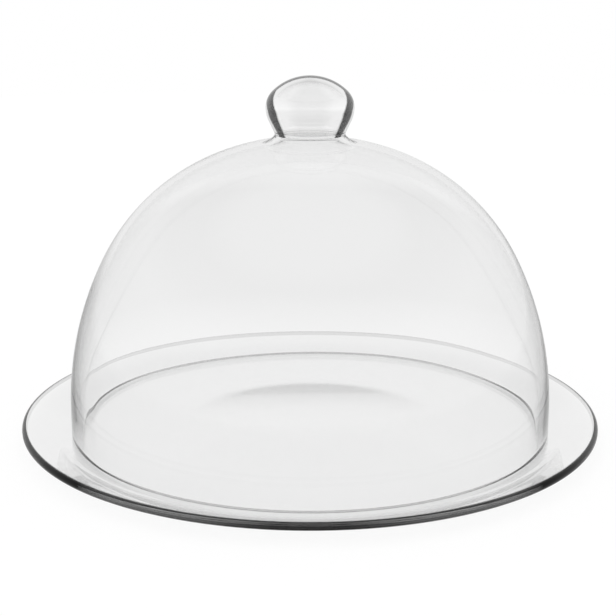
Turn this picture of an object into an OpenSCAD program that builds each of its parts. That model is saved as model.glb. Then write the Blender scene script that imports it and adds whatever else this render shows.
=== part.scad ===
// Buffet food cover: a clear glass dome blown in one with its hollow knob, standing on a round glass plate.
// The plate's underside lies on z = 0, and every piece is turned about the Z axis.

/* [Dome] */
// Outside diameter of the dome at its foot
dome_d = 265; // [200:1:340]
// Height of the straight wall above the foot
wall_h = 14; // [4:1:60]
// Radius of the long curve up the side
side_r = 179; // [150:1:240]
// Angle above level at which the side passes into the shoulder
side_angle = 27; // [15:1:40]
// Radius of the shoulder
shoulder_r = 117.5; // [100:0.5:130]
// Angle above level at which the shoulder passes into the crown
shoulder_angle = 68; // [50:1:72]
// Thickness of the blown wall of dome and knob
dome_wall = 3.5; // [2:0.1:5]
// Rounding of the foot's two edges
foot_round = 1.7; // [0.2:0.1:2]

/* [Knob] */
// Widest diameter of the knob
knob_d = 47.4; // [44:0.2:70]
// Radius of the curve from the widest line up to the top
knob_shoulder_r = 12; // [8:0.5:18]
// Angle above level at which that curve passes into the flatter top
knob_shoulder_angle = 46; // [30:1:60]
// Radius of the curve from the widest line down to the taper
knob_belly_r = 17; // [8:0.5:24]
// Lean of the taper inward, from upright
knob_taper = 25; // [15:1:35]
// Outside diameter of the neck at its narrowest line
neck_d = 38; // [24:0.5:38]
// Radius of the hollow curve round the neck
neck_round = 2; // [1:0.5:3]
// Radius of the flare from the neck's curve down to the crown
flare_r = 12; // [5:0.5:20]
// Slope of the flare where it meets the neck's curve
flare_angle = 48; // [25:1:70]

/* [Plate] */
// Thickness of the pressed plate
plate_t = 4.2; // [3:0.1:8]
// Play between the dome's foot and the start of the brim's bend
seat_play = 1.5; // [0.5:0.1:6]
// Width of the brim outside the seat
brim_w = 25.4; // [15:0.2:60]
// Height of the brim's top edge above the seat
brim_rise = 6.8; // [5:0.1:20]
// Radius of the bend from the seat up into the brim
brim_bend_r = 20; // [5:1:40]
// Diameter of the shallow hollow pressed into the underside
kick_d = 170; // [80:1:180]
// Depth of that hollow at the middle
kick_h = 1.2; // [0.5:0.1:2.4]
// Radius that eases the hollow's edge into the flat underside
kick_ease_r = 900; // [100:10:1500]

/* [Hidden] */

// Sides of a full turn
turn_sides = 180;
// The most that one straight step along a curve may turn, and the least steps of a shallow curve
step_angle = 2.5;
least_steps = 6;

// Colour of the clear glass
glass_colour = [0.86, 0.90, 0.90, 0.35];

dome_r = dome_d / 2;
neck_r = neck_d / 2;
knob_r = knob_d / 2;
seat_z = plate_t;

// The foot's two roundings leave a narrow flat between them
foot_room_share = 0.98;
foot_r = min(foot_round, foot_room_share * dome_wall / 2);

// Centres of the side and shoulder curves, then the crown, whose centre is on the axis
side_c = [dome_r - side_r, seat_z + wall_h];
shoulder_c = side_c + (side_r - shoulder_r) * [cos(side_angle), sin(side_angle)];
crown_c = [0, shoulder_c.y - shoulder_c.x * tan(shoulder_angle)];
crown_r = shoulder_r + shoulder_c.x / cos(shoulder_angle);

// The flare touches the crown and passes into the neck's curve, centred level with the narrowest line
neck_out_r = neck_r + neck_round;
flare_reach = flare_r - neck_round;
flare_turn = asin((neck_out_r + flare_reach * sin(flare_angle)) / (crown_r + flare_r));
flare_c = crown_c + (crown_r + flare_r) * [sin(flare_turn), cos(flare_turn)];
neck_z = flare_c.y - flare_reach * cos(flare_angle);
neck_c = [neck_out_r, neck_z];

// The knob's curves: the belly is small enough to leave some taper, and the top closes on the axis
taper_foot = neck_c + neck_round * [-cos(knob_taper), sin(knob_taper)];
belly_room_share = 0.9;
belly_room = (knob_r - taper_foot.x) / (1 - cos(knob_taper));
belly_r = min(knob_belly_r, belly_room_share * belly_room);
belly_foot_r = knob_r - belly_r * (1 - cos(knob_taper));
belly_z = taper_foot.y + (belly_foot_r - taper_foot.x) / tan(knob_taper) + belly_r * sin(knob_taper);
belly_c = [knob_r - belly_r, belly_z];
knob_shoulder_c = [knob_r - knob_shoulder_r, belly_z];
knob_top_c = [0, belly_z - knob_shoulder_c.x * tan(knob_shoulder_angle)];
knob_top_r = knob_shoulder_r + knob_shoulder_c.x / cos(knob_shoulder_angle);

// The brim rises from the seat round a bend, then straight to the centre of its round edge
seat_r = dome_r + seat_play;
rim_r = plate_t / 2;
rim_c = [seat_r + brim_w - rim_r, seat_z + brim_rise - rim_r];
bend_room_share = 0.9;
bend_room = (pow(rim_c.x - seat_r, 2) + pow(brim_rise, 2) - brim_rise * plate_t) / (2 * brim_rise);
bend_r = min(brim_bend_r, bend_room_share * bend_room);
bend_c = [seat_r, seat_z + bend_r];
bend_mid_r = bend_r + rim_r;
rim_reach = rim_c - bend_c;
slope_l = sqrt(rim_reach * rim_reach - pow(bend_mid_r, 2));
slope_angle = atan2(rim_reach.y, rim_reach.x) + atan2(bend_mid_r, slope_l);

// The hollow under the plate: a shallow cap that meets its easing curve on one slope
kick_r = kick_d / 2;
kick_slope = 2 * atan(kick_h / kick_r);
ease_room_share = 0.8;
ease_room = kick_r / sin(kick_slope);
ease_r = min(kick_ease_r, ease_room_share * ease_room);
kick_ease_c = [kick_r, ease_r];
kick_cap_r = ease_room - ease_r;
kick_cap_c = [0, kick_h - kick_cap_r];

// Points along an arc of radius r about c, from angle a to angle b; joined arcs leave their first point out
function arc(c, r, a, b, first = 0) =
    let (n = max(least_steps, ceil(abs(b - a) / step_angle)))
    [for (i = [first:n]) let (t = a + (b - a) * i / n) c + r * [cos(t), sin(t)]];

// Wall of the dome from the straight wall's top up to an angle of the crown, moved inward by the depth
function dome_line(depth, top_angle) = concat(
    arc(side_c, side_r - depth, 0, side_angle),
    arc(shoulder_c, shoulder_r - depth, side_angle, shoulder_angle, 1),
    arc(crown_c, crown_r - depth, shoulder_angle, top_angle, 1)
);

// Flare and lower half of the neck's curve, moved inward by the depth
function neck_line(depth) = concat(
    arc(flare_c, flare_r + depth, -90 - flare_turn, -90 - flare_angle, 1),
    arc(neck_c, neck_round + depth, -90 - flare_angle, -180, 1)
);

// Upper half of the neck's curve and the knob up to its top on the axis, moved inward by the depth
function knob_line(depth) = concat(
    arc(neck_c, neck_round + depth, 180, 180 - knob_taper),
    arc(belly_c, belly_r - depth, -knob_taper, 0),
    arc(knob_shoulder_c, knob_shoulder_r - depth, 0, knob_shoulder_angle, 1),
    arc(knob_top_c, knob_top_r - depth, knob_shoulder_angle, 90, 1)
);

function reversed(points) = [for (i = [len(points) - 1:-1:0]) points[i]];

// Outline turned about the Z axis
module turned(points) {
    rotate_extrude($fn = turn_sides) polygon(points);
}

module serving_plate() {
    color(glass_colour) turned(concat(
        [[0, seat_z]],
        arc(bend_c, bend_r, -90, slope_angle - 90),
        arc(rim_c, rim_r, slope_angle + 90, slope_angle - 90),
        arc(bend_c, bend_r + plate_t, slope_angle - 90, -90),
        arc(kick_ease_c, ease_r, -90, -90 - kick_slope),
        arc(kick_cap_c, kick_cap_r, 90 - kick_slope, 90, 1)
    ));
}

module dome_bell() {
    foot_in_c = [dome_r - dome_wall + foot_r, seat_z + foot_r];
    foot_out_c = [dome_r - foot_r, seat_z + foot_r];
    color(glass_colour) turned(concat(
        arc(foot_in_c, foot_r, 180, 270),
        arc(foot_out_c, foot_r, -90, 0),
        dome_line(0, 90 - flare_turn),
        neck_line(0),
        reversed(neck_line(dome_wall)),
        reversed(dome_line(dome_wall, 90 - flare_turn))
    ));
}

module knob() {
    color(glass_colour) turned(concat(knob_line(0), reversed(knob_line(dome_wall))));
}

serving_plate();
dome_bell();
knob();
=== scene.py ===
# %% [markdown]
# # A glass food cover in Blender
# The real object is two pieces of clear glass: a pressed plate, and a dome that is blown in one with
# its hollow knob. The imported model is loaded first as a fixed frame. Each piece here is made around it,
# in metres, at the same place, so nothing has to be fitted afterwards.

# %% Load the frame
import math

import bpy
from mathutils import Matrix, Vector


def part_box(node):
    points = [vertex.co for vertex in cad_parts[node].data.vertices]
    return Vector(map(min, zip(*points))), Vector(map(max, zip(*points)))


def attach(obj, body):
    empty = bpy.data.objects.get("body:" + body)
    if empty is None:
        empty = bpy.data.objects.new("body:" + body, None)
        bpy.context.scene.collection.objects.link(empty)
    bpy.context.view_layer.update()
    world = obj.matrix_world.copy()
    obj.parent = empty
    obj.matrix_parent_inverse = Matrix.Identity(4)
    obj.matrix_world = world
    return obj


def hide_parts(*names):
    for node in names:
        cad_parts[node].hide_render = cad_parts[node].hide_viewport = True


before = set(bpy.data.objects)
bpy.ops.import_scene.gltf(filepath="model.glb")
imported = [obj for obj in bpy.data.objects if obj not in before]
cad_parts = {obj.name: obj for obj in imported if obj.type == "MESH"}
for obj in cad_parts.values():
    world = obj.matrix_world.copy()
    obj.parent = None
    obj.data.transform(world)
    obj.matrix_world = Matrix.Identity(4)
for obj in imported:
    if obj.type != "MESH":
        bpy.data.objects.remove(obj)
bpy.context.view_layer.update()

MM = 0.001

# %% [markdown]
# ## The camera
# A photograph of a round object tells where the camera was. The dome's foot is a circle, and its
# ellipse is about a third as tall as wide, so the eye is about 19 degrees above the plate. The circle
# at the knob's neck looks flatter, which gives the distance, about 0.9 m. The lens then follows from
# the width in the picture. The camera could be aimed with a constraint, but plain angles are easier to
# read.

# %% Place the camera
EYE_BACK = 878 * MM
EYE_UP = 320.2 * MM
EYE_SIDE = -1.1 * MM
LOOK_DOWN = math.radians(15.85)
LENS_MM = 96.8
SENSOR_MM = 36

camera = bpy.data.objects.new("camera", bpy.data.cameras.new("camera"))
bpy.context.scene.collection.objects.link(camera)
camera.location = (EYE_SIDE, -EYE_BACK, EYE_UP)
camera.rotation_euler = (math.pi / 2 - LOOK_DOWN, 0, 0)
camera.data.lens = LENS_MM
camera.data.sensor_width = SENSOR_MM
camera.data.clip_start = 10 * MM
camera.data.clip_end = 100
bpy.context.scene.camera = camera
bpy.context.scene.view_settings.view_transform = "Standard"
print("camera at", tuple(round(v, 3) for v in camera.location), "lens", LENS_MM, "mm")

# %% [markdown]
# ## Turning an outline into a solid
# All the pieces are round, as most glassware is: a plunger or a blowing mould leaves a shape of
# turning. A Screw modifier could turn an outline, but here the points of a ring are also pushed in and
# out a little, as uneven glass is, so the rings are made one by one. An outline is a list of (radius,
# height) points, and its round stretches are arcs.


# %% Outline helpers
def arc(centre, radius, start, end, steps, first=0):
    """Points of an arc from one angle to another, in degrees; a joined arc leaves its first point out."""
    points = []
    for i in range(first, steps + 1):
        angle = math.radians(start + (end - start) * i / steps)
        points.append((centre[0] + radius * math.cos(angle), centre[1] + radius * math.sin(angle)))
    return points


def line(a, b, steps):
    """Points on a straight stretch, without its two ends."""
    return [(a[0] + (b[0] - a[0]) * i / steps, a[1] + (b[1] - a[1]) * i / steps) for i in range(1, steps)]


# %% [markdown]
# An outline that starts on the axis also ends there, and its two ends close in a point. One that starts
# away from the axis goes all the way round the wall, and its last ring is joined to its first.

# %% Turn an outline
TURN_STEPS = 256
ON_AXIS = 0.001 * MM


def turned(name, outline, push=None):
    """A closed mesh from an outline; push gives how far a ring's point moves outward at an angle."""
    verts, rings = [], []
    for index, (radius, height) in enumerate(outline):
        if radius < ON_AXIS:
            rings.append([len(verts)] * TURN_STEPS)
            verts.append((0, 0, height))
            continue
        rings.append(list(range(len(verts), len(verts) + TURN_STEPS)))
        for i in range(TURN_STEPS):
            angle = 2 * math.pi * i / TURN_STEPS
            out = radius + (push(index, angle) if push else 0)
            verts.append((out * math.cos(angle), out * math.sin(angle), height))
    if outline[0][0] > ON_AXIS:
        rings.append(rings[0])
    faces = []
    for low, high in zip(rings, rings[1:]):
        for i in range(TURN_STEPS):
            j = (i + 1) % TURN_STEPS
            faces.append(tuple(dict.fromkeys((low[i], low[j], high[j], high[i]))))
    mesh = bpy.data.meshes.new(name)
    mesh.from_pydata(verts, [], faces)
    mesh.shade_smooth()
    piece = bpy.data.objects.new(name, mesh)
    bpy.context.scene.collection.objects.link(piece)
    print(name, "has", len(outline), "rings and", len(faces), "faces")
    return piece


# %% [markdown]
# ## The plate
# A gob of glass is pressed between a mould and a plunger, which gives a flat seat, a brim that bends up
# and a round, fire-polished edge. The mould also leaves a shallow hollow under the middle, so that the
# plate stands on a ring. The hollow matters to the eye: seen at this low angle, its far slope turns
# light back inside the glass, and that is the soft grey arc in the middle of the plate. The outline could
# be drawn by eye as a curve, but arcs that touch bend as smoothly as the mould does.

# %% Plate sizes
plate_low, plate_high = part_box("serving_plate")
dome_low, dome_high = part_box("dome_bell")
knob_low, knob_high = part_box("knob")

PLATE_T = dome_low.z
SEAT_PLAY = 1.5 * MM
BEND_R = 20 * MM
KICK_R = 85 * MM
KICK_H = 1.2 * MM
KICK_EASE_R = 600 * MM

seat_r = dome_high.x + SEAT_PLAY
rim_r = PLATE_T / 2
rim_c = (plate_high.y - rim_r, plate_high.z - rim_r)
bend_c = (seat_r, PLATE_T + BEND_R)
reach = (rim_c[0] - bend_c[0], rim_c[1] - bend_c[1])
slope_l = math.sqrt(reach[0] ** 2 + reach[1] ** 2 - (BEND_R + rim_r) ** 2)
slope = math.degrees(math.atan2(reach[1], reach[0]) + math.atan2(BEND_R + rim_r, slope_l))
kick_slope = 2 * math.degrees(math.atan(KICK_H / KICK_R))
kick_cap_r = KICK_R / math.sin(math.radians(kick_slope)) - KICK_EASE_R
print("brim slope", round(slope, 1), "degrees, hollow slope", round(kick_slope, 2), "degrees")

# %% Plate mesh
top_bend = arc(bend_c, BEND_R, -90, slope - 90, 12)
edge = arc(rim_c, rim_r, slope + 90, slope - 90, 40)
under_bend = arc(bend_c, BEND_R + PLATE_T, slope - 90, -90, 12)
plate_outline = (
    [(0, PLATE_T)] + line((0, PLATE_T), top_bend[0], 24) + top_bend
    + line(top_bend[-1], edge[0], 6) + edge + line(edge[-1], under_bend[0], 6) + under_bend
    + line(under_bend[-1], (KICK_R, 0), 10)
    + arc((KICK_R, KICK_EASE_R), KICK_EASE_R, -90, -90 - kick_slope, 12)
    + arc((0, KICK_H - kick_cap_r), kick_cap_r, 90 - kick_slope, 90, 24, first=1)
)
plate = turned("plate", plate_outline[::-1])
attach(plate, "plate")
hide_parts("serving_plate")

# %% [markdown]
# ## The dome
# The dome is blown into a mould. Its side, shoulder and crown are arcs that touch, a flare and a tight
# round lead up into the knob's neck, and the foot is cut and then melted round in a flame. A Solidify
# modifier could thicken a single skin, but it would leave the foot square. So both sides are drawn, and
# the inside follows the outside: each arc keeps its centre and changes its radius.

# %% Dome sizes
WALL = 3.5 * MM
WALL_H = 14 * MM
SIDE_R = 179 * MM
SIDE_ANGLE = 27
SHOULDER_R = 117.5 * MM
SHOULDER_ANGLE = 68
NECK_R = 19 * MM
NECK_ROUND = 2 * MM
FLARE_R = 12 * MM
FLARE_ANGLE = 48


def along(angle, length):
    """The sideways and upward parts of a length that leans by an angle from level."""
    return length * math.cos(math.radians(angle)), length * math.sin(math.radians(angle))


dome_r = dome_high.x
neck_z = dome_high.z
side_c = (dome_r - SIDE_R, dome_low.z + WALL_H)
step = along(SIDE_ANGLE, SIDE_R - SHOULDER_R)
shoulder_c = (side_c[0] + step[0], side_c[1] + step[1])
crown_c = (0, shoulder_c[1] - shoulder_c[0] * math.tan(math.radians(SHOULDER_ANGLE)))
crown_r = SHOULDER_R + shoulder_c[0] / math.cos(math.radians(SHOULDER_ANGLE))
neck_c = (NECK_R + NECK_ROUND, neck_z)
step = along(90 - FLARE_ANGLE, FLARE_R - NECK_ROUND)
flare_c = (neck_c[0] + step[0], neck_c[1] + step[1])
flare_turn = math.degrees(math.asin(flare_c[0] / (crown_r + FLARE_R)))
print("crown radius", round(crown_r / MM, 1), "mm, neck at", round(neck_z / MM, 1), "mm")


# %% Dome outline
def dome_line(depth):
    """The wall from its straight stretch up to the middle of the neck, moved inward by a depth."""
    return (
        arc(side_c, SIDE_R - depth, 0, SIDE_ANGLE, 30)
        + arc(shoulder_c, SHOULDER_R - depth, SIDE_ANGLE, SHOULDER_ANGLE, 40, first=1)
        + arc(crown_c, crown_r - depth, SHOULDER_ANGLE, 90 - flare_turn, 20, first=1)
        + arc(flare_c, FLARE_R + depth, -90 - flare_turn, -90 - FLARE_ANGLE, 24, first=1)
        + arc(neck_c, NECK_ROUND + depth, -90 - FLARE_ANGLE, -180, 24, first=1)
    )


FOOT_ROUND = 1.7 * MM
FOOT_GAP = 0.15 * MM
foot_z = dome_low.z + FOOT_GAP
foot_in = arc((dome_r - WALL + FOOT_ROUND, foot_z + FOOT_ROUND), FOOT_ROUND, 180, 270, 8)
foot_out = arc((dome_r - FOOT_ROUND, foot_z + FOOT_ROUND), FOOT_ROUND, -90, 0, 8)
inside = dome_line(WALL)[::-1]
outside = dome_line(0)
dome_outline = (
    inside + line(inside[-1], foot_in[0], 8) + foot_in + line(foot_in[-1], foot_out[0], 3) + foot_out
    + line(foot_out[-1], outside[0], 8) + outside
)
print("foot at", round(foot_z / MM, 2), "mm, outline of", len(dome_outline), "points")

# %% [markdown]
# A mould makes the outside true, but the inside is left to the breath. Here it is pushed in and out by
# slow waves a tenth of a millimetre high, and by a low ridge along each of the mould's two seams. Glass
# also sinks while it is soft, so the wall grows thicker toward the foot. All three bend the lines seen
# through the wall a little, as they do in the photograph. A Displace modifier would move both sides of
# the wall, so the points are pushed here.

# %% Uneven inside of the dome
WAVE_HEIGHT = 0.1 * MM
WAVES = [(1.0, 3, 4, 0), (0.7, 5, -7, 0), (0.5, 8, 0, 3)]
SEAM_HEIGHT = 0.06 * MM
SEAM_WIDTH = math.radians(2.2)
SEAM_AT = math.radians(209)
SEAM_TOP = 80 * MM
SUNK_MORE = 1.0 * MM
SUNK_TOP = 64 * MM
inside_end = dome_outline.index(foot_out[0])


def uneven_inside(index, angle):
    """How far a point of the inside is pushed outward; the waves die out at the crown and at the foot."""
    radius, height = dome_outline[index]
    above = height - foot_z
    if index >= inside_end:
        return 0
    sunk = SUNK_MORE * max(0, 1 - above / SUNK_TOP) ** 2
    fade = (radius / dome_r) ** 2 * max(0, min(1, above / WALL_H))
    rise = height / dome_r
    wave = sum(share * math.sin(turns * angle + lean * rise + start)
               for share, turns, lean, start in WAVES)
    off_seam = (angle - SEAM_AT + math.pi / 2) % math.pi - math.pi / 2
    seam = math.exp(-(off_seam / SEAM_WIDTH) ** 2) * max(0, 1 - height / SEAM_TOP)
    return fade * (WAVE_HEIGHT * wave - SEAM_HEIGHT * seam) - sunk


# %% Dome mesh
dome = turned("dome", dome_outline, uneven_inside)
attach(dome, "cover")
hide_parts("dome_bell")

# %% [markdown]
# ## The knob
# The knob is blown in the same breath as the dome, so it is a hollow drop with the dome's wall. It
# swells from the neck to a belly, turns over a tight shoulder and closes in a flatter top. One mesh could
# hold both, but the frame keeps the knob apart. So it is a piece of its own, which meets the dome on a
# flat ring at the neck.

# %% Knob sizes
KNOB_SHOULDER_R = 12 * MM
KNOB_SHOULDER_ANGLE = 46
BELLY_R = 17 * MM
TAPER = 25

knob_r = knob_high.x
taper_foot = (neck_c[0] - along(TAPER, NECK_ROUND)[0], neck_z + along(TAPER, NECK_ROUND)[1])
belly_foot_r = knob_r - BELLY_R + along(TAPER, BELLY_R)[0]
taper_h = (belly_foot_r - taper_foot[0]) / math.tan(math.radians(TAPER))
belly_c = (knob_r - BELLY_R, taper_foot[1] + taper_h + along(TAPER, BELLY_R)[1])
knob_shoulder_c = (knob_r - KNOB_SHOULDER_R, belly_c[1])
knob_top_c = (0, belly_c[1] - knob_shoulder_c[0] * math.tan(math.radians(KNOB_SHOULDER_ANGLE)))
knob_top_r = KNOB_SHOULDER_R + knob_shoulder_c[0] / math.cos(math.radians(KNOB_SHOULDER_ANGLE))
knob_top = knob_top_c[1] + knob_top_r
print("knob widest at", round(belly_c[1] / MM, 1), "mm, top at", round(knob_top / MM, 1), "mm")


# %% Knob mesh
def knob_line(depth):
    """The knob's wall from the middle of the neck up to the top, moved inward by a depth."""
    waist = arc(neck_c, NECK_ROUND + depth, 180, 180 - TAPER, 24)
    belly = arc(belly_c, BELLY_R - depth, -TAPER, 0, 16)
    return (
        waist + line(waist[-1], belly[0], 8) + belly
        + arc(knob_shoulder_c, KNOB_SHOULDER_R - depth, 0, KNOB_SHOULDER_ANGLE, 24, first=1)
        + arc(knob_top_c, knob_top_r - depth, KNOB_SHOULDER_ANGLE, 90, 24, first=1)
    )


hollow = knob_line(WALL)[::-1]
knob = turned("knob_drop", hollow + knob_line(0))
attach(knob, "cover")
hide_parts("knob")

# %% [markdown]
# ## Glass
# Table glass is soda-lime glass, with an index of about 1.52. Pressed or blown and then fire polished,
# it has no grain of its own: what the eye gets is what it bends and mirrors. The Glass shader would do
# that, but Principled's transmission does it too, and other programs understand it. Lamps would see such
# glass as solid, so their rays take a Transparent shader instead, a little grey, which leaves the faint
# shadow that clear glass has.


# %% Material helpers
def colour(code):
    """An sRGB hex colour as linear red, green, blue and alpha."""
    parts = [int(code[i:i + 2], 16) / 255 for i in (1, 3, 5)]
    return [v / 12.92 if v <= 0.04045 else ((v + 0.055) / 1.055) ** 2.4 for v in parts] + [1]


def add_node(tree, kind, inputs=(), **settings):
    """A new node with its settings; an input is (socket, value) or (socket, node, output)."""
    node = tree.nodes.new(kind)
    for name, value in settings.items():
        setattr(node, name, value)
    for socket, value, *output in inputs:
        if output:
            tree.links.new(value.outputs[output[0]], node.inputs[socket])
        else:
            node.inputs[socket].default_value = value
    return node


def new_material(name):
    """A node material, emptied, and its tree."""
    material = bpy.data.materials.new(name)
    material.use_nodes = True
    material.node_tree.nodes.clear()
    return material, material.node_tree


# %% Clear glass
GLASS_IOR = 1.52
SHADOW_TINT = "#F4F5F5"


def clear_glass(name):
    """Fire-polished soda-lime glass: colourless, and sharp in what it bends and mirrors."""
    material, tree = new_material(name)
    glass = add_node(tree, "ShaderNodeBsdfPrincipled", [
        ("Base Color", colour("#FFFFFF")), ("Roughness", 0.0), ("IOR", GLASS_IOR),
        ("Transmission Weight", 1.0)])
    passing = add_node(tree, "ShaderNodeBsdfTransparent", [("Color", colour(SHADOW_TINT))])
    path = add_node(tree, "ShaderNodeLightPath")
    mix = add_node(tree, "ShaderNodeMixShader", [
        (0, path, "Is Shadow Ray"), (1, glass, 0), (2, passing, 0)])
    output = add_node(tree, "ShaderNodeOutputMaterial", [("Surface", mix, 0)])
    return material, tree, glass, output


# %% [markdown]
# ## The dark at the edges
# Where glass is thick or tightly curved, it bends light so far that it shows what stands beside the
# table, and in a studio that is the dark room. It is why clear glass has dark outlines in photographs.
# Black cards beside the table would do it, but then the dome would look black from the side. So the
# dark is painted shade in the glass's colour. Layer Weight is made for such effects: its Facing is 0
# where a surface faces the eye and 1 at its outline. With the normal laid level, it tells how far round
# to the side the glass stands, whatever its slope.


# %% Edge helpers
def level_ramp(tree, value, stops):
    """Levels along a value from 0 to the last stop; a stop is (value, level) or (value, red, green)."""
    whole = stops[-1][0]
    if whole != 1:
        value = add_node(tree, "ShaderNodeMath", [(0, *value), (1, whole)], operation="DIVIDE"), 0
    ramp = add_node(tree, "ShaderNodeValToRGB", [(0, *value)])
    marks = ramp.color_ramp.elements
    while len(marks) < len(stops):
        marks.new(1.0)
    for mark, (place, *levels) in zip(marks, stops):
        mark.position = place / whole
        mark.color = (levels[0], levels[-1], levels[-1], 1)
    return ramp


def turned_aside(tree):
    """The surface, and how far round to the side it stands: 0 before the eye, 1 at the outline."""
    surface = add_node(tree, "ShaderNodeNewGeometry")
    level = add_node(tree, "ShaderNodeVectorMath", [
        (0, surface, "Normal"), (1, (1, 1, 0))], operation="MULTIPLY")
    level = add_node(tree, "ShaderNodeVectorMath", [(0, level, 0)], operation="NORMALIZE")
    return surface, add_node(tree, "ShaderNodeLayerWeight", [("Blend", 0.5), ("Normal", level, 0)])


# %% [markdown]
# ## Pressed glass of the plate
# The plate's round edge is seen end-on, through the whole width of the glass. Soda-lime glass takes
# away a little of the light on such a long way, which Volume Absorption gives. On top of it, the room's
# dark is painted shade in the edge's colour and in what it mirrors, in stretches: black at both sides,
# and lighter just before them. The edge could have a material of its own, but light has to go in and out
# of a volume through the same one. So one material serves the whole plate, and the edge is found by its
# distance from the axis. At the back, where the edge is seen from inside the glass, the painted shade is
# only a little grey.

# %% Pressed glass
DENSITY = 0.9
# Painted shade of the edge by how far round to the side it stands: (Facing, level), 0 black, 1 clear.
EDGE_PAINTED_DARK = [(0.09, 0.24), (0.15, 1.0), (0.35, 1.0), (0.47, 0.0), (0.66, 0.0),
             (0.85, 0.15), (1.0, 0.15)]
EDGE_BACK_SHADE = 0.65

pressed, tree, glass, output = clear_glass("pressed soda-lime glass, fire polished")
surface, aside = turned_aside(tree)
place = add_node(tree, "ShaderNodeTexCoord")
level = add_node(tree, "ShaderNodeVectorMath", [
    (0, place, "Object"), (1, (1, 1, 0))], operation="MULTIPLY")
away = add_node(tree, "ShaderNodeVectorMath", [(0, level, 0)], operation="LENGTH")
on_edge = add_node(tree, "ShaderNodeMath", [
    (0, away, "Value"), (1, rim_c[0])], operation="GREATER_THAN")
# Painted shade: the room's dark painted into the edge's colour and what it mirrors, lighter where seen
# from behind.
room = level_ramp(tree, (aside, "Facing"), EDGE_PAINTED_DARK)
painted_edge_dark = add_node(tree, "ShaderNodeMapRange", [
    ("Value", surface, "Backfacing"), ("To Min", room, 0), ("To Max", EDGE_BACK_SHADE)])
painted_shade = add_node(tree, "ShaderNodeMapRange", [
    ("Value", on_edge, 0), ("To Min", 1.0), ("To Max", painted_edge_dark, 0)])
tree.links.new(painted_shade.outputs[0], glass.inputs["Base Color"])
tree.links.new(painted_shade.outputs[0], glass.inputs["Specular Tint"])
depth = add_node(tree, "ShaderNodeVolumeAbsorption", [
    ("Color", colour("#000000")), ("Density", DENSITY)])
tree.links.new(depth.outputs[0], output.inputs["Volume"])
plate.data.materials.append(pressed)
print("plate edge outside", round(rim_c[0] / MM, 1), "mm takes the dark")

# %% [markdown]
# ## Blown glass of the dome
# The dome's wall is thin and evenly curved, so it stays clear. Only its round foot is curved tightly
# enough to gather the dark: it draws a line on the plate, thin and faint before the eye, broader and
# dark at both sides. A thin ring of dark glass could be laid there, but the real cover has no such piece,
# so the line is painted shade in the foot's own glass colour. The red of the ramp is how clear the
# painted line is, and the green is how far it goes up the foot.

# %% Blown glass
FOOT_LINE = 3.6 * MM
# Painted shade of the foot line by how far round to the side it stands: (Facing, clearness, height
# share).
FOOT_PAINTED_DARK = [(0.05, 0.38, 0.26), (0.3, 0.34, 0.28), (0.43, 0.12, 0.43),
             (0.57, 0.02, 0.61), (0.75, 0.02, 1.0), (1.0, 0.02, 1.0)]

blown, tree, glass, output = clear_glass("blown soda-lime glass")
surface, aside = turned_aside(tree)
place = add_node(tree, "ShaderNodeTexCoord")
spot = add_node(tree, "ShaderNodeSeparateXYZ", [(0, place, "Object")])
# Painted shade: the dark line painted into the foot's colour.
ramp = level_ramp(tree, (aside, "Facing"), FOOT_PAINTED_DARK)
room = add_node(tree, "ShaderNodeSeparateColor", [(0, ramp, 0)])
up = add_node(tree, "ShaderNodeMapRange", [
    ("Value", spot, "Z"), ("From Min", foot_z), ("From Max", foot_z + FOOT_LINE)])
on_foot = add_node(tree, "ShaderNodeMath", [(0, up, 0), (1, room, "Green")], operation="LESS_THAN")
painted_shade = add_node(tree, "ShaderNodeMapRange", [
    ("Value", on_foot, 0), ("To Min", 1.0), ("To Max", room, "Red")])
tree.links.new(painted_shade.outputs[0], glass.inputs["Base Color"])
dome.data.materials.append(blown)
print("foot line up to", FOOT_LINE / MM, "mm above the foot")

# %% [markdown]
# ## Blown glass of the knob
# The knob is curved so tightly that its flanks gather broad bands of the dark, which are painted shade in
# the knob's glass colour. At the neck a band lies inside the outline, higher up it widens out to it, and
# over the top it thins to a line along the outline. The band could be two ramps, one for each of its
# edges, but the red and green of one ramp up the knob hold both.

# %% Edges of the knob's bands
# Where the painted dark band lies on the knob: (mm above the neck, inner edge, outer edge) in Facing.
BAND_EDGES = [(0, 0.26, 0.50), (7.5, 0.28, 0.58), (13.5, 0.32, 0.68), (16.5, 0.39, 0.80),
              (19.5, 0.48, 1.0), (22.5, 0.58, 1.0), (25, 0.72, 1.0), (27.5, 0.9, 1.0), (29.5, 1.0, 1.0)]
BAND_SOFT = 0.05

skin, tree, glass, output = clear_glass("blown soda-lime glass, tightly curved")
surface, aside = turned_aside(tree)
place = add_node(tree, "ShaderNodeTexCoord")
spot = add_node(tree, "ShaderNodeSeparateXYZ", [(0, place, "Object")])
above = add_node(tree, "ShaderNodeMath", [(0, spot, "Z"), (1, neck_z)], operation="SUBTRACT")
ramp = level_ramp(tree, (above, 0), [(height * MM, inner, outer) for height, inner, outer in BAND_EDGES])
edges = add_node(tree, "ShaderNodeSeparateColor", [(0, ramp, 0)])


def past(value, *edge):
    """0 to 1 across one soft edge of a band."""
    end = add_node(tree, "ShaderNodeMath", [(0, *edge), (1, BAND_SOFT)], operation="ADD")
    return add_node(tree, "ShaderNodeMapRange", [
        ("Value", value, "Facing"), ("From Min", *edge), ("From Max", end, 0)])


# Painted shade: the dark band between the two edges.
flank = add_node(tree, "ShaderNodeMath", [
    (0, past(aside, edges, "Red"), 0), (1, past(aside, edges, "Green"), 0)], operation="SUBTRACT")
print("knob bands run", BAND_EDGES[-1][0], "mm up from the neck")

# %% [markdown]
# The painted line over the top is found by the true slant of the surface, and only where it looks upward.
# Seen from above, the flanks no longer gather the room, so their painted bands fade for a steep look. A
# Layer Weight with an upright normal tells how steep the look is.

# %% Line over the knob's top
TOP_EDGE = 0.67
TOP_FROM, TOP_FULL = 0.1, 0.3
STEEP_LOOK, LOW_LOOK = 0.35, 0.6

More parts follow.
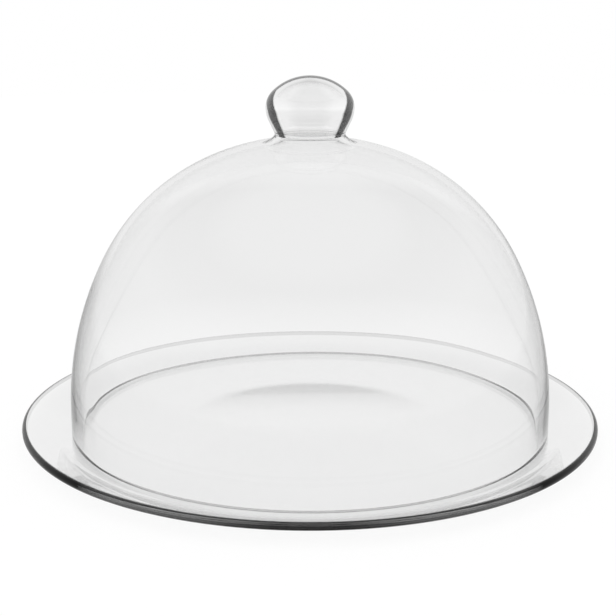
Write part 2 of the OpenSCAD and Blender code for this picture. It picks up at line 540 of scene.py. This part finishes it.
slant = add_node(tree, "ShaderNodeLayerWeight", [("Blend", 0.5)])
upward = add_node(tree, "ShaderNodeSeparateXYZ", [(0, place, "Normal")])
over = add_node(tree, "ShaderNodeMapRange", [
    ("Value", upward, "Z"), ("From Min", TOP_FROM), ("From Max", TOP_FULL)])
# Painted shade: the dark line over the top.
top = add_node(tree, "ShaderNodeMapRange", [
    ("Value", slant, "Facing"), ("From Min", TOP_EDGE), ("From Max", TOP_EDGE + BAND_SOFT)])
top = add_node(tree, "ShaderNodeMath", [(0, top, 0), (1, over, 0)], operation="MULTIPLY")
upright = add_node(tree, "ShaderNodeCombineXYZ", [("Z", 1.0)])
steep = add_node(tree, "ShaderNodeLayerWeight", [("Blend", 0.5), ("Normal", upright, 0)])
low_look = add_node(tree, "ShaderNodeMapRange", [
    ("Value", steep, "Facing"), ("From Min", STEEP_LOOK), ("From Max", LOW_LOOK)])
flank = add_node(tree, "ShaderNodeMath", [(0, flank, 0), (1, low_look, 0)], operation="MULTIPLY")
band = add_node(tree, "ShaderNodeMath", [(0, flank, 0), (1, top, 0)], operation="MAXIMUM")
print("line over the top past", TOP_EDGE, "of the way to the outline")

# %% [markdown]
# The middle of the knob is painted a little grey, as shade for the most glass the eye looks through
# there.
# Mirrored rays don't see the painted band, as it would show twice. The hollow's own surface stays clear,
# for the same reason, and so the knob has a second material for it.

# %% Glass of the knob
# Painted shade: how dark the band is, and how grey the middle of the knob is painted.
BAND_DARK = 0.005
KNOB_MIDDLE_SHADE = 0.88
MIDDLE, MIDDLE_END = 0.046, 0.15

path = add_node(tree, "ShaderNodeLightPath")
direct = add_node(tree, "ShaderNodeMapRange", [
    ("Value", path, "Is Glossy Ray"), ("To Min", 1.0), ("To Max", 0.0)])
band = add_node(tree, "ShaderNodeMath", [(0, band, 0), (1, direct, 0)], operation="MULTIPLY")
# Painted shade: the grey middle, then the dark bands over it, in the knob's colour.
painted_shade = add_node(tree, "ShaderNodeMapRange", [
    ("Value", aside, "Facing"), ("From Min", MIDDLE), ("From Max", MIDDLE_END),
    ("To Min", KNOB_MIDDLE_SHADE), ("To Max", 1.0)])
shade = add_node(tree, "ShaderNodeMapRange", [
    ("Value", band, 0), ("To Min", painted_shade, 0), ("To Max", BAND_DARK)])
tree.links.new(shade.outputs[0], glass.inputs["Base Color"])
knob.data.materials.append(skin)
knob.data.materials.append(clear_glass("blown soda-lime glass, inside")[0])
for face in knob.data.polygons[:TURN_STEPS * (len(hollow) - 1)]:
    face.material_index = 1
print("knob materials:", [material.name for material in knob.data.materials])

# %% [markdown]
# ## The joint at the neck
# On the real cover the knob and the dome are one glass where they meet, so light goes on unbent. The
# two meshes meet there on a flat ring. A glass of index 1 would still cost some light, so those two
# rings get a Transparent shader, which neither bends nor mirrors.

# %% Neck rings
fused, tree = new_material("fused glass joint")
passing = add_node(tree, "ShaderNodeBsdfTransparent", [("Color", colour("#FFFFFF"))])
add_node(tree, "ShaderNodeOutputMaterial", [("Surface", passing, 0)])
for piece in (dome, knob):
    piece.data.materials.append(fused)
    count = 0
    for face in piece.data.polygons:
        if all(abs(piece.data.vertices[v].co.z - neck_z) < ON_AXIS for v in face.vertices):
            face.material_index = len(piece.data.materials) - 1
            face.use_smooth = False
            count += 1
    print(piece.name, "has", count, "faces on the ring")

# %% [markdown]
# ## Table and light
# Clear glass is photographed against white: a white table and a white wall behind it. Lamps alone could
# make a table white, but they would have to be very bright. So both are white to the camera by
# themselves, and a little less through glass. Light that is mirrored on its way comes from further round
# the room, where it is dimmer, so each mirroring takes it down by a share. Light Path's Glossy Depth
# counts them, and this is what draws the edges of the glass. A small part of the table's white is lit,
# which leaves the shadow.


# %% White to the camera and through glass
def white_level(tree, through_glass, mirrored):
    """1 to the camera; else the level seen through glass, times a share for each time it was mirrored."""
    path = add_node(tree, "ShaderNodeLightPath")
    dim = add_node(tree, "ShaderNodeMath", [(0, mirrored), (1, path, "Glossy Depth")], operation="POWER")
    level = add_node(tree, "ShaderNodeMath", [(0, dim, 0), (1, *through_glass)], operation="MULTIPLY")
    return add_node(tree, "ShaderNodeMath", [
        (0, level, 0), (1, path, "Is Camera Ray")], operation="MAXIMUM")


# %% Table
FLOOR_GAP = 0.4 * MM
FLOOR_R = 1.3

bpy.ops.mesh.primitive_circle_add(
    vertices=128, radius=FLOOR_R, fill_type="NGON", location=(0, 0, -FLOOR_GAP))
floor = bpy.context.object
floor.name = "floor"
print("table", FLOOR_R, "m round,", FLOOR_GAP / MM, "mm under the plate")

# %% White of the table, with painted light by distance
LIT_SHARE = 0.15
# Through glass the table glows in painted light by distance from the middle, in metres: brighter under
# the plate, dimmer further out, bright again at the edge.
TABLE_WHITE_AND_PAINTED_LIGHT = [(0, 0.92), (0.17, 0.92), (0.3, 0.84), (0.85, 0.84), (1.1, 0.97), (1.3, 0.97)]
TABLE_MIRRORED = 0.8

table, tree = new_material("white table")
path = add_node(tree, "ShaderNodeLightPath")
seen = add_node(tree, "ShaderNodeMath", [
    (0, path, "Is Camera Ray"), (1, path, "Is Glossy Ray")], operation="MAXIMUM")
seen = add_node(tree, "ShaderNodeMath", [
    (0, seen, 0), (1, path, "Is Transmission Ray")], operation="MAXIMUM")
part = add_node(tree, "ShaderNodeMath", [(0, seen, 0), (1, 1 - LIT_SHARE)], operation="MULTIPLY")
place = add_node(tree, "ShaderNodeTexCoord")
away = add_node(tree, "ShaderNodeVectorMath", [(0, place, "Object")], operation="LENGTH")
white = white_level(tree, (level_ramp(tree, (away, "Value"), TABLE_WHITE_AND_PAINTED_LIGHT), 0), TABLE_MIRRORED)
lit = add_node(tree, "ShaderNodeBsdfDiffuse", [("Color", colour("#F4F4F4"))])
glow = add_node(tree, "ShaderNodeEmission", [("Color", colour("#FFFFFF")), ("Strength", white, 0)])
mix = add_node(tree, "ShaderNodeMixShader", [(0, part, 0), (1, lit, 0), (2, glow, 0)])
add_node(tree, "ShaderNodeOutputMaterial", [("Surface", mix, 0)])
floor.data.materials.append(table)
print("table white by distance in metres:", TABLE_WHITE_AND_PAINTED_LIGHT)

# %% [markdown]
# ## The room
# Low down the room is the white wall behind the table. Higher up it is darker between wall and ceiling.
# A picture of a studio could stand for it, but levels by the angle above the horizon keep the light
# plain, and the glass then looks alike from all sides.

# %% World
SKY = [(0, 0.96), (22, 0.96), (35, 0.74), (48, 0.62), (62, 0.8), (90, 0.8)]
SKY_MIRRORED = 0.92
world = bpy.data.worlds.new("studio")
bpy.context.scene.world = world
world.use_nodes = True
tree = world.node_tree
tree.nodes.clear()
place = add_node(tree, "ShaderNodeTexCoord")
way = add_node(tree, "ShaderNodeSeparateXYZ", [(0, place, "Generated")])
rise = add_node(tree, "ShaderNodeMath", [(0, way, "Z")], operation="ARCSINE")
up = add_node(tree, "ShaderNodeMath", [(0, rise, 0)], operation="DEGREES")
white = white_level(tree, (level_ramp(tree, (up, 0), SKY), 0), SKY_MIRRORED)
sky = add_node(tree, "ShaderNodeBackground", [("Color", colour("#FFFFFF")), ("Strength", white, 0)])
add_node(tree, "ShaderNodeOutputWorld", [("Surface", sky, 0)])
print("room levels by degrees above the horizon:", SKY)

# %% [markdown]
# One broad lamp overhead leaves the soft shadow under the plate. A sun with a wide angle is the simplest
# soft lamp, as it has no place or size to choose. The glass doesn't mirror it, so that no bright spot
# shows.

# %% Lamp
SUN_STRENGTH = 1.3
SUN_SPREAD = 70
SUN_TILT = (12, -10, 0)

sun = bpy.data.objects.new("soft_sun", bpy.data.lights.new("soft_sun", "SUN"))
bpy.context.scene.collection.objects.link(sun)
sun.data.energy = SUN_STRENGTH
sun.data.angle = math.radians(SUN_SPREAD)
sun.rotation_euler = [math.radians(v) for v in SUN_TILT]
sun.visible_glossy = False
sun.visible_transmission = False
print("lamp strength", SUN_STRENGTH, "spread over", SUN_SPREAD, "degrees")

# %% [markdown]
# Light that runs along inside the plate's edge is mirrored many times before it gets out. With the
# usual few bounces it would be cut off and leave black patches, so the paths may be longer here.

# %% Light paths
BOUNCES = 40
paths = bpy.context.scene.cycles
paths.max_bounces = BOUNCES
paths.glossy_bounces = BOUNCES
paths.transmission_bounces = BOUNCES
print("paths of up to", BOUNCES, "bounces")
